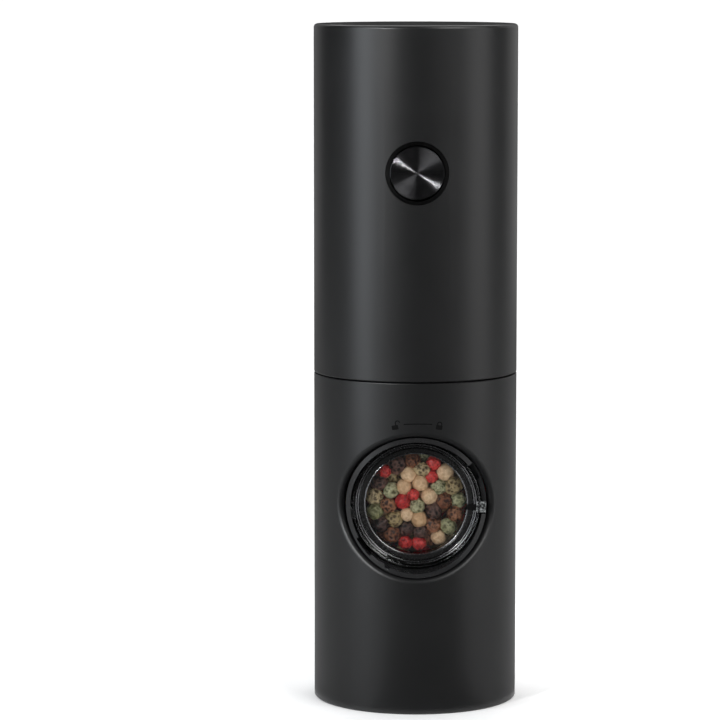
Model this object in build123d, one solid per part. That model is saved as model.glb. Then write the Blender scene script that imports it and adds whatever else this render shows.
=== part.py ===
from build123d import *
import math
import os

# Electric pepper mill: a plain two-part tube with a push button near the top, a round
# twist-lock filling port in the lower half, and ceramic burrs under the pepper tank.
# Millimetres. Origin at the centre of the base, +Z up, the front (button, port) faces -Y.

# ---- driving dimensions ----
HEIGHT = 210.0
BODY_R = 31.5
WALL = 2.2
BORE_R = BODY_R - WALL
TOP_THICKNESS = 2.5
SPLIT_Z = 102.25
SPLIT_GAP = 0.35
SPLIT_EDGE_R = 0.3
EDGE_R = 1.1
BASE_CHAMFER = 0.5
SPIGOT_R = BORE_R - 0.2
SPIGOT_BORE_R = BORE_R - 2.1

PORT_Z = 63.8
PORT_R = 21.75
PORT_LIP_R = 1.5
COLLAR_R = 21.55
POCKET_R = 20.2
APERTURE_R = 15.8
POCKET_FLOOR_Y = -17.0
DOOR_R = 19.7
DOOR_FRONT_Y = -22.9
DOOR_BACK_Y = -18.1
DOOR_LUG_R = 20.7
DOOR_LUGS = ((90, 13), (262, 15))
TAB_BACK_Y = -21.0
UNLOCK_ANGLE = 30.0

BUTTON_Z = 165.7
BUTTON_HOLE_R = 9.65
BUTTON_DISC_R = 8.4
BUTTON_TRAVEL = 0.9
USB_Z = 116.0
LED_Z = 123.0

MODULE = 0.6
SUN_TEETH = 12
PLANET_TEETH = 18
RING_TEETH = 48
PLANET_COUNT = 3
PLANET_ORBIT_R = MODULE * (SUN_TEETH + PLANET_TEETH) / 2
BACKLASH = 0.12
GEARBOX_R = 18.0

SHAFT_FLATS = 6.0
HUB_SHAFT_R = 5.5
SEAL_BORE_R = 7.25
FIT = 0.05
GAP = 0.15
BEYOND = 5.0

os.makedirs("parts", exist_ok=True)


# ---- small building blocks ----
def rod(radius, low, high, x=0.0, y=0.0):
    """Upright cylinder between two heights."""
    return Pos(x, y, low) * Cylinder(radius, high - low, align=(Align.CENTER, Align.CENTER, Align.MIN))


def tube(outer, inner, low, high, x=0.0, y=0.0):
    """Upright ring between two heights."""
    return rod(outer, low, high, x, y) - rod(inner, low - 1, high + 1, x, y)


def block(x0, x1, y0, y1, z0, z1):
    """Box between two corners."""
    return Pos((x0 + x1) / 2, (y0 + y1) / 2, (z0 + z1) / 2) * Box(x1 - x0, y1 - y0, z1 - z0)


def along_y(shape, z, x=0.0):
    """Turn an upright shape so that its Z runs along +Y, on an axis at height z."""
    return Pos(x, 0, z) * Rot(-90, 0, 0) * shape


def y_rod(radius, y0, y1, z, x=0.0):
    """Cylinder along Y."""
    return along_y(rod(radius, y0, y1), z, x)


def y_tube(outer, inner, y0, y1, z, x=0.0):
    """Ring along Y."""
    return along_y(tube(outer, inner, y0, y1), z, x)


def wedge(reach, low, high, centre, span):
    """Triangular prism from the Z axis outwards; span under 180 degrees."""
    half = math.radians(span / 2)
    near = (reach * math.cos(half), -reach * math.sin(half))
    far = (reach * math.cos(half), reach * math.sin(half))
    return Rot(0, 0, centre) * (Pos(0, 0, low) * extrude(Polygon((0, 0), near, far, align=None), high - low))


def sector(outer, inner, low, high, centre, span):
    """Part of an upright ring: centre and span in degrees from +X."""
    ring = tube(outer, inner, low, high)
    if span > 180:
        return ring - wedge(outer * 4, low - 1, high + 1, centre + 180, 360 - span)
    return ring & wedge(outer * 4, low - 1, high + 1, centre, span)


def y_sector(outer, inner, y0, y1, clock, span):
    """Part of a ring round the port axis; clock is degrees clockwise from the top, seen from the front."""
    return along_y(sector(outer, inner, y0, y1, clock - 90, span), PORT_Z)


def spin(profile, height_axis=Axis.Z):
    """Solid of revolution of a closed (radius, height) outline."""
    outline = make_face(Polyline(*profile, close=True))
    return revolve(Plane.XZ * outline, height_axis)


def hexagon(flats, low, high):
    """Upright hexagonal bar by its width across flats."""
    return Pos(0, 0, low) * extrude(RegularPolygon(flats / 2, 6, major_radius=False), high - low)


def around(count, shape, start=0.0):
    """Copies of a shape evenly spaced round the Z axis."""
    return [Rot(0, 0, start + 360 * k / count) * shape for k in range(count)]


def joined(shapes):
    """Union of a list of touching shapes."""
    total = shapes[0]
    for shape in shapes[1:]:
        total = total + shape
    return total


def without(shape, cutters):
    """A shape less a list of cutters."""
    for cutter in cutters:
        shape = shape - cutter
    return shape


def save(name, *solids):
    """Write one node; several solids stay separate bodies in its file."""
    flat = [solid for shape in solids for solid in shape.solids()]
    shape = flat[0] if len(flat) == 1 else Compound(children=flat)
    shape.label = name
    export_step(shape, f"parts/{name}.step")


def screw(shank_r, head_r, head_h, length, tip_z):
    """Pan-head screw pointing up: its head lies below, with a cross recess."""
    top = tip_z
    seat = top - length
    body = rod(shank_r, seat, top) + rod(head_r, seat - head_h, seat)
    slot = block(-head_r * 0.6, head_r * 0.6, -0.25, 0.25, seat - head_h - 1, seat - head_h * 0.45)
    return without(body, [slot, Rot(0, 0, 90) * slot])


# ---- shells: satin black moulded tubes ----
SNAP_COUNT = 4
SNAP_START = 45
POCKET_SPAN = 18
POCKET_DEPTH = 0.85
LOWER_POCKET = (98.5, 100.3)
UPPER_POCKET = (105.4, 107.2)
REST_RING = (5.2, 7.4)
USB_HOLE = (9.9, 4.2)
LED_HOLE_R = 1.15


def snap_pockets(low, high):
    """Shallow inner recesses that the chassis bumps click into."""
    pocket = sector(BORE_R + POCKET_DEPTH, BORE_R - 1, low, high, 0, POCKET_SPAN)
    return around(SNAP_COUNT, pocket, SNAP_START)


def lower_shell():
    shell = rod(BODY_R, 0, SPLIT_Z - SPLIT_GAP / 2)
    shell = chamfer(shell.edges().filter_by(GeomType.CIRCLE).group_by(Axis.Z)[0], BASE_CHAMFER)
    shell = fillet(shell.edges().filter_by(GeomType.CIRCLE).group_by(Axis.Z)[-1], SPLIT_EDGE_R)
    shell = shell - y_rod(PORT_R, -BODY_R - BEYOND, -PORT_R / 2, PORT_Z)
    port_rim = shell.edges().filter_by(lambda edge: on_port_rim(edge @ 0.25) and on_port_rim(edge @ 0.75))
    shell = fillet(port_rim, PORT_LIP_R) - rod(BORE_R, -1, HEIGHT)
    shell = shell + tube(BORE_R + 0.2, SPIGOT_BORE_R, *REST_RING)
    return without(shell, snap_pockets(*LOWER_POCKET))


def on_port_rim(point):
    """True where the filling port's hole meets the outer surface."""
    on_surface = abs(math.hypot(point.X, point.Y) - BODY_R) < 0.05
    return on_surface and abs(math.hypot(point.X, point.Z - PORT_Z) - PORT_R) < 0.05


def upper_shell():
    shell = rod(BODY_R, SPLIT_Z + SPLIT_GAP / 2, HEIGHT)
    shell = fillet(shell.edges().filter_by(GeomType.CIRCLE).group_by(Axis.Z)[-1], EDGE_R)
    shell = fillet(shell.edges().filter_by(GeomType.CIRCLE).group_by(Axis.Z)[0], SPLIT_EDGE_R)
    shell = shell - rod(BORE_R, 0, HEIGHT - TOP_THICKNESS)
    shell = shell - y_rod(BUTTON_HOLE_R, -BODY_R - BEYOND, 0, BUTTON_Z)
    usb_hole = Pos(0, BORE_R, USB_Z) * Rot(90, 0, 0) * extrude(SlotOverall(*USB_HOLE), 2 * BEYOND, both=True)
    led_hole = y_rod(LED_HOLE_R, BORE_R - BEYOND, BODY_R + BEYOND, LED_Z)
    return without(shell, snap_pockets(*UPPER_POCKET) + [usb_hole, led_hole])


# ---- chassis: bulkhead, spigots, rails, shelf and board posts ----
BULKHEAD_LOW = 97.5
BULKHEAD_HIGH = 100.6
SPIGOT_HIGH = 109.5
SHELF_LOW = 152.6
SHELF_HIGH = 154.4
RAIL = (24.6, 27.6)
RAIL_HALF = 6.0
RAIL_TOP = 205.6
BUMP_SPAN = 16
BUMP_HEIGHT = 0.55
LOWER_BUMP = (98.7, 100.1)
UPPER_BUMP = (105.6, 107.0)
HOPPER_SCREW_R = 24.2
HOPPER_SCREW_HOLE_R = 1.7
GEARBOX_SCREW_R = 16.6
GEARBOX_SCREW_SHANK_R = 1.0
BOARD_SCREW_SHANK_R = 0.8
THREAD_GAP = 0.01
BOARD_BACK_Y = -19.2
BOARD_FRONT_Y = -20.4
POST_X = 10.0
POST_HALF = 2.2
BOARD_TOP = 190.0
BOARD_SCREW_Z = (157.0, 186.0)
CHARGE_BOARD_Y = 22.4
CHARGE_BOARD_TOP = 127.0
CHARGE_SCREW_X = 9.5
CHARGE_POST_HALF = 2.0


def chassis():
    body = rod(SPIGOT_R, BULKHEAD_LOW, BULKHEAD_HIGH)
    body = body + tube(SPIGOT_R, SPIGOT_BORE_R, BULKHEAD_LOW, SPIGOT_HIGH)
    for low, high in (LOWER_BUMP, UPPER_BUMP):
        bump = sector(BORE_R + BUMP_HEIGHT, BORE_R - 1, low, high, 0, BUMP_SPAN)
        body = body + joined(around(SNAP_COUNT, bump, SNAP_START))
    rail = block(*RAIL, -RAIL_HALF, RAIL_HALF, BULKHEAD_HIGH - 1, RAIL_TOP)
    body = body + rail + (Rot(0, 0, 180) * rail)
    body = body + shelf() + joined(board_posts())
    body = body + block(-26, 26, RAIL_HALF - 1, RAIL_HALF + 5, RAIL_TOP - 0.2, RAIL_TOP + 1.4)
    thread = GEARBOX_SCREW_SHANK_R + THREAD_GAP
    below = BULKHEAD_LOW - BEYOND
    above = BULKHEAD_HIGH + BEYOND
    cuts = [rod(SEAL_BORE_R, below, above)]
    cuts += around(3, rod(HOPPER_SCREW_HOLE_R, below, BULKHEAD_HIGH + 3, HOPPER_SCREW_R), 90)
    cuts += around(3, rod(thread, below, BULKHEAD_HIGH + 3, GEARBOX_SCREW_R), 30)
    return without(body, cuts + board_threads())


def shelf():
    """Shelf under the battery, open at the front for the wires."""
    opening = block(-8.5, 8.5, -BODY_R, -8, SHELF_LOW - 1, SHELF_HIGH + 1)
    return (rod(27.8, SHELF_LOW, SHELF_HIGH) - opening) & block(-30, 30, BOARD_BACK_Y + 0.1, 22, 0, HEIGHT)


def board_posts():
    """Two posts behind each circuit board."""
    posts = []
    for side in (-1, 1):
        x = side * POST_X
        posts.append(block(x - POST_HALF, x + POST_HALF, BOARD_BACK_Y, BOARD_BACK_Y + 5,
                           SHELF_LOW, BOARD_TOP))
        x = side * CHARGE_SCREW_X
        posts.append(block(x - CHARGE_POST_HALF, x + CHARGE_POST_HALF, CHARGE_BOARD_Y - 3.2, CHARGE_BOARD_Y,
                           BULKHEAD_HIGH - 1, CHARGE_BOARD_TOP))
    return posts


def board_threads():
    """Screw holes in the board posts."""
    thread = BOARD_SCREW_SHANK_R + THREAD_GAP
    front = [y_rod(thread, -25, BOARD_BACK_Y + 4.5, z, x) for z in BOARD_SCREW_Z for x in (-POST_X, POST_X)]
    back = [y_rod(thread, CHARGE_BOARD_Y - 2.5, 26, LED_Z, x) for x in (-CHARGE_SCREW_X, CHARGE_SCREW_X)]
    return front + back


# ---- hopper: the pepper tank, a cup with a funnel floor and an open port ----
HOPPER_R = 28.9
HOPPER_BORE_R = 27.4
HOPPER_TOP = 97.3
CARTRIDGE_R = 20.0
CARTRIDGE_SCREW_R = 23.4
BOSS_LOW = 5.1
BOSS_HIGH = 38.0
FOOT_BOSS_R = 3.0
FOOT_REACH_R = 26.9
TOP_BOSS_R = 3.3
CARTRIDGE_SCREW_SHANK_R = 1.45
HOPPER_SCREW_SHANK_R = 1.25


def hopper():
    outside = spin([(0, 27), (21.8, 27), (21.8, 31.9), (HOPPER_R, 40.4), (HOPPER_R, HOPPER_TOP),
                    (0, HOPPER_TOP)])
    inside = spin([(0, 20), (CARTRIDGE_R + GAP, 20), (CARTRIDGE_R + GAP, 32.4), (HOPPER_BORE_R, 41.1),
                   (HOPPER_BORE_R, HOPPER_TOP + BEYOND), (0, HOPPER_TOP + BEYOND)])
    foot_bosses = joined(around(3, rod(FOOT_BOSS_R, BOSS_LOW, BOSS_HIGH, CARTRIDGE_SCREW_R), 90))
    foot_bosses = foot_bosses & rod(FOOT_REACH_R, 0, BOSS_HIGH)
    tank = (outside + foot_bosses) - inside
    top_boss = rod(TOP_BOSS_R, 87, HOPPER_TOP, HOPPER_SCREW_R) & rod(HOPPER_R - 0.5, 0, HEIGHT)
    tank = tank + joined(around(3, top_boss, 90))
    cuts = [y_rod(PORT_R, -BODY_R - BEYOND, -BEYOND, PORT_Z)]
    cuts += around(3, rod(CARTRIDGE_SCREW_SHANK_R + THREAD_GAP, 0, 15, CARTRIDGE_SCREW_R), 90)
    cuts += around(3, rod(HOPPER_SCREW_SHANK_R + THREAD_GAP, 89, HOPPER_TOP + 1, HOPPER_SCREW_R), 90)
    return without(tank, cuts)


# ---- filling port: collar with bayonet hooks, clear door, gasket ----
HOOK_FRONT_Y = DOOR_BACK_Y - 1.9
LUG_SLOT_R = DOOR_LUG_R + 0.25
FAR_FRONT_Y = -BODY_R - BEYOND
COLLAR_FLOOR = 1.4
FINGER_SPAN = 16
LATCH_Y = (-26.0, -23.5)
LATCH_CLOCK = 200


def port_collar():
    body = y_rod(COLLAR_R, -BODY_R, POCKET_FLOOR_Y + COLLAR_FLOOR, PORT_Z)
    body = body & rod(BODY_R - 0.45, 0, HEIGHT)
    cuts = [y_rod(POCKET_R, FAR_FRONT_Y, POCKET_FLOOR_Y, PORT_Z), y_rod(APERTURE_R, FAR_FRONT_Y, 0, PORT_Z)]
    inner = POCKET_R - 1
    for clock, span in DOOR_LUGS:
        swept = span + UNLOCK_ANGLE + 3
        middle = clock - UNLOCK_ANGLE / 2
        cuts.append(y_sector(LUG_SLOT_R, inner, HOOK_FRONT_Y, POCKET_FLOOR_Y, middle, swept))
        cuts.append(y_sector(LUG_SLOT_R, inner, FAR_FRONT_Y, POCKET_FLOOR_Y, clock - UNLOCK_ANGLE, span + 3))
    tab_clock = DOOR_LUGS[0][0] - UNLOCK_ANGLE / 2
    tab_span = FINGER_SPAN + UNLOCK_ANGLE
    cuts.append(y_sector(COLLAR_R + 1, inner, FAR_FRONT_Y, TAB_BACK_Y + 0.25, tab_clock, tab_span))
    latch_slot = y_sector(POCKET_R + 0.6, inner, *LATCH_Y, LATCH_CLOCK, 17)
    latch_entry = y_sector(POCKET_R + 0.6, inner, FAR_FRONT_Y, LATCH_Y[1], LATCH_CLOCK + 6, 5)
    return without(body, cuts + [latch_slot, latch_entry])


WINDOW_FRONT_Y = -20.6
WINDOW_BACK_Y = -19.2
GASKET_R = 17.25
GASKET_BORE_R = 16.15


def fill_door():
    step = DOOR_FRONT_Y + 0.9
    inner_lip = DOOR_FRONT_Y + 0.4
    profile = [
        (0, WINDOW_BACK_Y), (15.3, WINDOW_BACK_Y), (15.8, DOOR_BACK_Y), (DOOR_R, DOOR_BACK_Y),
        (DOOR_R, DOOR_FRONT_Y + 0.5), (DOOR_R - 0.5, DOOR_FRONT_Y), (18.3, DOOR_FRONT_Y), (17.9, step),
        (17.0, step), (16.7, inner_lip), (15.9, inner_lip), (15.4, WINDOW_FRONT_Y), (0, WINDOW_FRONT_Y),
    ]
    body = along_y(spin(profile), PORT_Z)
    body = body - y_tube(GASKET_R + 0.15, GASKET_BORE_R - 0.15, DOOR_BACK_Y - 0.6, DOOR_BACK_Y + 1, PORT_Z)
    for clock, span in DOOR_LUGS:
        body = body + y_sector(DOOR_LUG_R, DOOR_R - 1, DOOR_BACK_Y - 1.7, DOOR_BACK_Y, clock, span)
    index_tab = y_sector(POCKET_R - 0.1, DOOR_R - 1, DOOR_BACK_Y - 3, DOOR_BACK_Y - 1, 0, 8.5)
    finger_tab = y_sector(COLLAR_R - 0.15, DOOR_R - 2.5, DOOR_FRONT_Y + 0.1, TAB_BACK_Y, 90, 10)
    slit = y_sector(DOOR_R - 0.7, DOOR_R - 3.2, DOOR_FRONT_Y - 1, DOOR_FRONT_Y + 1.0, 94, 1.6)
    return body + index_tab + finger_tab - slit


def door_gasket():
    return y_tube(GASKET_R, GASKET_BORE_R, DOOR_BACK_Y - 0.5, POCKET_FLOOR_Y - 0.1, PORT_Z)


# ---- grinder: cartridge housing, ceramic burrs and the fineness adjuster ----
SEAT_LOW = 16.7
OUTER_BURR_R = 17.5
MOUTH_R = 15.5
HUB_R = 8.8
CONE_LOW_Z = 18.2
CONE_HIGH_Z = 29.4
CONE_LOW_R = 12.6
CONE_HIGH_R = 8.2
BURR_BASE_Z = 17.4
FLANGE = (2.0, 5.0)
SPOKES = (9.2, 12.4)
HUB_BORE_R = 4.1
PRONG_X = 6.6
PRONG_HALF = 0.95
PRONG_SLOT_HALF = 1.15
PIN_BORE_R = 2.05
PIN_ROD_R = 1.95
KNOB_R = 7.5
KNOB_NECK_R = 4.05
CLIP_GROOVE = (13.2, 13.9)


def burr_cartridge():
    body = rod(28.95, *FLANGE) + rod(CARTRIDGE_R, FLANGE[1] - 1, 29.5)
    bore = rod(OUTER_BURR_R + FIT, SEAT_LOW, 40) + rod(MOUTH_R, 0, SEAT_LOW + 1)
    spoke = block(4, MOUTH_R + 1, -1.6, 1.6, *SPOKES)
    body = (body - bore) + rod(HUB_R, SPOKES[0], 13.0) + joined(around(3, spoke, 30))
    cuts = [rod(HUB_BORE_R, 0, 20)]
    cuts += prongs(PRONG_SLOT_HALF, 5, 20)
    screw_seat = rod(1.6, 0, 10, CARTRIDGE_SCREW_R) + rod(2.95, 0, 3.8, CARTRIDGE_SCREW_R)
    return without(body, cuts + around(3, screw_seat, 90))


def prongs(half, low, high):
    """The two square pegs that keep the thrust pin from turning, or the slots they slide in."""
    return [block(side * PRONG_X - half, side * PRONG_X + half, -half, half, low, high) for side in (-1, 1)]


def tooth_groove(width, depth, low, high, radius_low, radius_high, lean):
    """V-shaped groove along a cone, leaning round it."""
    slant = math.degrees(math.atan2(radius_low - radius_high, high - low))
    prism = Rot(0, 0, 45) * Box(width, width, (high - low) * 1.5)
    middle_r = (radius_low + radius_high) / 2 + width * 0.7071 - depth
    return Pos(middle_r, 0, (low + high) / 2) * Rot(lean, -slant, 0) * prism


def outer_burr():
    bore = spin([(0, 10), (CONE_LOW_R + 0.75, 10), (CONE_LOW_R + 0.75, CONE_LOW_Z),
                 (CONE_LOW_R - 0.35, CONE_LOW_Z + 5), (CONE_HIGH_R + 3.6, CONE_HIGH_Z),
                 (CONE_HIGH_R + 5.6, 40), (0, 40)])
    body = rod(OUTER_BURR_R, SEAT_LOW + 0.05, 28.9) - bore
    groove = tooth_groove(1.0, 0.55, SEAT_LOW - 1, 29, CONE_LOW_R + 0.6, CONE_HIGH_R + 3.3, 12)
    return without(body, around(24, Pos(0.75, 0, 0) * groove))


def inner_burr():
    cone = spin([(0, BURR_BASE_Z), (CONE_LOW_R - 0.6, BURR_BASE_Z), (CONE_LOW_R, CONE_LOW_Z),
                 (CONE_HIGH_R, CONE_HIGH_Z), (CONE_HIGH_R - 0.6, 30), (0, 30)])
    groove = tooth_groove(1.7, 0.8, CONE_LOW_Z, CONE_HIGH_Z, CONE_LOW_R, CONE_HIGH_R, -14)
    cone = without(cone, around(16, groove))
    return without(cone, [hexagon(SHAFT_FLATS + 0.2, 22.5, 31), rod(PIN_BORE_R, 0, 20.6)])


def thrust_pin():
    body = rod(PIN_ROD_R, 4.2, 20.2) + rod(7.8, 15.7, BURR_BASE_Z - GAP)
    return body + joined(prongs(PRONG_HALF, 10.4, 16))


def adjust_knob():
    grip = rod(KNOB_R, 1.4, 8.7)
    grip = chamfer(grip.edges().group_by(Axis.Z)[0], 0.6)
    grip = without(grip, around(12, rod(1.0, 0, 10, KNOB_R + 0.6)))
    pointer = block(2.2, 5.6, -0.5, 0.5, 0, 1.9)
    neck = rod(KNOB_NECK_R, 8.0, 14.6) - tube(6, 3.4, *CLIP_GROOVE)
    return without(grip + neck, [rod(PIN_BORE_R, 3.6, 20), pointer])


def knob_clip():
    low, high = CLIP_GROOVE
    return tube(5.2, 3.45, low + 0.07, high - 0.07) - block(0, 8, -1.6, 1.6, low - 1, high + 1)


def burr_spring():
    """Light coil between the inner burr and the agitator."""
    pitch = 2.3
    height = 6.9
    wire_r = 0.3
    path = Pos(0, 0, 30.35) * Helix(pitch, height, 4.45)
    section = Plane(origin=path @ 0, z_dir=path % 0) * Circle(wire_r)
    return sweep(section, path=path, is_frenet=True)


# ---- output shaft ----
AGITATOR_LOW = 37.8
AGITATOR_HIGH = 43.5
AGITATOR_R = 15.0
BLADE_HALF = 1.1
HEX_FIT = 0.06


def drive_shaft():
    bar = hexagon(SHAFT_FLATS, 24.0, 102.2)
    return chamfer(bar.edges().group_by(Axis.Z)[0], 0.4)


def agitator():
    hub = rod(5.4, AGITATOR_LOW, AGITATOR_HIGH)
    flat = block(0, AGITATOR_R, -BLADE_HALF, BLADE_HALF, -2.6, 2.6)
    blade = Pos(0, 0, (AGITATOR_LOW + AGITATOR_HIGH) / 2) * Rot(35, 0, 0) * flat
    blade = blade & rod(AGITATOR_R, AGITATOR_LOW, AGITATOR_HIGH)
    return (hub + joined(around(2, blade))) - hexagon(SHAFT_FLATS + HEX_FIT, 30, 50)


# ---- bearing and seal in the bulkhead ----
def output_bushing():
    return tube(SEAL_BORE_R - 0.03, HUB_SHAFT_R + FIT, 97.7, 102.7)


def shaft_seal():
    ring = tube(9.5, HUB_SHAFT_R + 0.5, 96.2, 97.4)
    lip = spin([(HUB_SHAFT_R + 0.1, 95.2), (HUB_SHAFT_R + 0.6, 95.2), (HUB_SHAFT_R + 1.4, 96.5),
                (HUB_SHAFT_R + 0.5, 97.2)])
    return ring + lip


# ---- two-stage planetary gearbox ----
HOUSING_LOW = 100.7
HOUSING_HIGH = 119.3
COVER_HIGH = 121.4
PRESSURE_ANGLE = math.radians(20)
STAGE_TWO = (105.3, 110.6)
STAGE_ONE = (113.3, 118.7)
OUTPUT_PLATE = (103.0, 105.0)
FIRST_PLATE = (110.9, 113.0)
PIN_R = 1.2
CARRIER_R = 13.1
CARRIER_HOLE_R = 2.2
CARRIER_HOLE_ORBIT = 9.6
TIP_ADD = 0.85
ROOT_DEPTH = 1.15
RING_ROOT = 1.2
RING_TIP = 0.8
GEARBOX_SCREW_HOLE_R = GEARBOX_SCREW_SHANK_R + FIT
MOTOR_SCREW_Y = 8.0
MOTOR_SCREW_SHANK_R = 1.2
MOTOR_SCREW_HEAD_R = 2.0


def involute(angle):
    return math.tan(angle) - angle


def gear_face(teeth, tip_add, root_depth, thickness):
    """Involute gear outline with a tooth centred on +X."""
    pitch_r = MODULE * teeth / 2
    base_r = pitch_r * math.cos(PRESSURE_ANGLE)
    tip_r = pitch_r + tip_add * MODULE
    root_r = pitch_r - root_depth * MODULE
    start_r = max(base_r, root_r)
    flank = [start_r + (tip_r - start_r) * k / 3 for k in range(4)]

    def half_angle(radius):
        roll = math.acos(min(1.0, base_r / radius))
        return thickness / (2 * pitch_r) + involute(PRESSURE_ANGLE) - involute(roll)

    side = [(radius, half_angle(radius)) for radius in flank]
    if start_r > root_r:
        side.insert(0, (root_r, half_angle(start_r)))
    points = []
    for tooth in range(teeth):
        centre = 2 * math.pi * tooth / teeth
        for radius, half in side:
            points.append((radius * math.cos(centre - half), radius * math.sin(centre - half)))
        for radius, half in reversed(side):
            points.append((radius * math.cos(centre + half), radius * math.sin(centre + half)))
    return make_face(Polyline(*points, close=True))


def spur_gear(teeth, low, high):
    face = gear_face(teeth, TIP_ADD, ROOT_DEPTH, math.pi * MODULE / 2 - BACKLASH)
    return Pos(0, 0, low) * extrude(face, high - low)


def gear_housing():
    ring_space = gear_face(RING_TEETH, RING_ROOT, RING_TIP, math.pi * MODULE / 2 + BACKLASH)
    teeth = Rot(0, 0, 180 / RING_TEETH) * (Pos(0, 0, HOUSING_LOW + 2) * extrude(ring_space, 30))
    body = rod(GEARBOX_R, HOUSING_LOW, HOUSING_HIGH) - teeth
    cuts = [rod(SEAL_BORE_R, 90, 110)] + around(3, rod(GEARBOX_SCREW_HOLE_R, 90, 130, GEARBOX_SCREW_R), 30)
    return without(body, cuts)


def gearbox_cover():
    body = rod(GEARBOX_R, HOUSING_HIGH, COVER_HIGH)
    cuts = [rod(3.2, 100, 130)] + around(3, rod(GEARBOX_SCREW_HOLE_R, 90, 130, GEARBOX_SCREW_R), 30)
    for y in (-MOTOR_SCREW_Y, MOTOR_SCREW_Y):
        cuts.append(rod(MOTOR_SCREW_SHANK_R + 0.1, 100, 130, 0, y))
        cuts.append(rod(MOTOR_SCREW_HEAD_R + 0.1, 100, HOUSING_HIGH + 1.1, 0, y))
    return without(body, cuts)


def planets(low, high):
    gear = spur_gear(PLANET_TEETH, low, high) - rod(PIN_R + FIT, low - 1, high + 1)
    first = Pos(PLANET_ORBIT_R, 0, 0) * Rot(0, 0, 180 / PLANET_TEETH) * gear
    return around(PLANET_COUNT, first)


def planet_pins(low, high):
    return around(PLANET_COUNT, rod(PIN_R, low, high, PLANET_ORBIT_R))


def carrier_plate(low, high):
    holes = around(PLANET_COUNT, rod(CARRIER_HOLE_R, low - 1, high + 1, CARRIER_HOLE_ORBIT), 60)
    return without(rod(CARRIER_R, low, high), planet_pins(low - 1, high + 1) + holes)


def output_carrier():
    body = carrier_plate(*OUTPUT_PLATE) + rod(HUB_SHAFT_R, 95.0, OUTPUT_PLATE[0] + 0.5)
    return body - hexagon(SHAFT_FLATS + HEX_FIT, 90, 102.4)


def first_stage_carrier():
    sun = spur_gear(SUN_TEETH, STAGE_TWO[0], FIRST_PLATE[0] + 0.2)
    return carrier_plate(*FIRST_PLATE) + sun


# ---- motor ----
MOTOR_R = 12.2
CAN_HIGH = 147.9
MOTOR_SHAFT_R = 1.0
ROTOR_R = 9.0
CAN_WALL = 0.9
BOSS_R = 3.1
TERMINAL_X = 7.5
PINION_LOW = 113.5


def motor_can():
    can = rod(MOTOR_R, COVER_HIGH, CAN_HIGH)
    can = fillet(can.edges().filter_by(GeomType.CIRCLE).group_by(Axis.Z)[0], 1.2)
    can = (can + rod(BOSS_R, COVER_HIGH - 1.5, COVER_HIGH + 2)) - rod(MOTOR_R - CAN_WALL, COVER_HIGH + 1, 160)
    cuts = [rod(MOTOR_SHAFT_R + FIT, 100, 160)]
    thread = MOTOR_SCREW_SHANK_R + THREAD_GAP
    cuts += [rod(thread, 100, COVER_HIGH + 2, 0, y) for y in (-MOTOR_SCREW_Y, MOTOR_SCREW_Y)]
    return without(can, cuts)


def motor_end_bell():
    bell = rod(MOTOR_R - 1.0, CAN_HIGH - 4, CAN_HIGH + 1.8) - rod(MOTOR_R - 2.4, 120, CAN_HIGH)
    bell = bell + rod(BOSS_R + 0.1, CAN_HIGH + 1.5, CAN_HIGH + 3.2)
    for x in (-TERMINAL_X, TERMINAL_X):
        bell = bell + block(x - 1.3, x + 1.3, -0.4, 0.4, CAN_HIGH + 1, CAN_HIGH + 3.9)
    return bell - rod(MOTOR_SHAFT_R + FIT, 100, 160)


def motor_pinion():
    return spur_gear(SUN_TEETH, PINION_LOW, STAGE_ONE[1] + 0.2) - rod(MOTOR_SHAFT_R, 110, 120)


def motor_shaft():
    return rod(MOTOR_SHAFT_R, PINION_LOW, CAN_HIGH + 3.9) + rod(ROTOR_R, 125, 142)


# ---- battery ----
CELL_R = 9.15
CELL_Y = 8.0
CELL_LOW = 154.75
CELL_HIGH = 204.65
CRADLE_R = 10.7
CRADLE_TOP = 203.0
TAB_HALF = 3.5
TAB_THICKNESS = 0.2


def battery_cell():
    cell = rod(CELL_R, CELL_LOW, CELL_HIGH - 0.6, 0, CELL_Y)
    cell = fillet(cell.edges().filter_by(GeomType.CIRCLE), 0.7)
    return cell + rod(4.2, CELL_HIGH - 1, CELL_HIGH, 0, CELL_Y)


def battery_cradle():
    return Pos(0, CELL_Y, 0) * sector(CRADLE_R, CELL_R + 0.2, SHELF_HIGH, CRADLE_TOP, 90, 240)


def battery_tabs():
    tabs = []
    for low in (SHELF_HIGH + FIT, CELL_HIGH + FIT):
        tabs.append(block(-TAB_HALF, TAB_HALF, CELL_Y - TAB_HALF, CELL_Y + TAB_HALF,
                          low, low + TAB_THICKNESS))
    return tabs


# ---- electronics ----
BOARD_HOLE_R = 0.95
BOARD_THICKNESS = 1.2
SWITCH_HALF = 3.0
SWITCH_TOP_Y = -24.6
USB_SHELL = (8.94, 3.26)
USB_MOUTH = (8.34, 2.66)
USB_LENGTH = 7.2
CHARGE_BOARD_FRONT_Y = CHARGE_BOARD_Y + BOARD_THICKNESS


def control_board():
    board = block(-13, 13, BOARD_FRONT_Y, BOARD_BACK_Y, 154.8, BOARD_TOP)
    holes = [y_rod(BOARD_HOLE_R, -30, -10, z, x) for z in BOARD_SCREW_Z for x in (-POST_X, POST_X)]
    return without(board, holes)


def board_chips():
    chips = [block(-9.5, -4.0, BOARD_FRONT_Y - 1.0, BOARD_FRONT_Y, 174, 180)]
    chips.append(block(3.5, 9.0, BOARD_FRONT_Y - 1.6, BOARD_FRONT_Y, 175, 179))
    chips.append(block(-3.0, 3.0, BOARD_FRONT_Y - 0.9, BOARD_FRONT_Y, 183, 187.5))
    return chips


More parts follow.
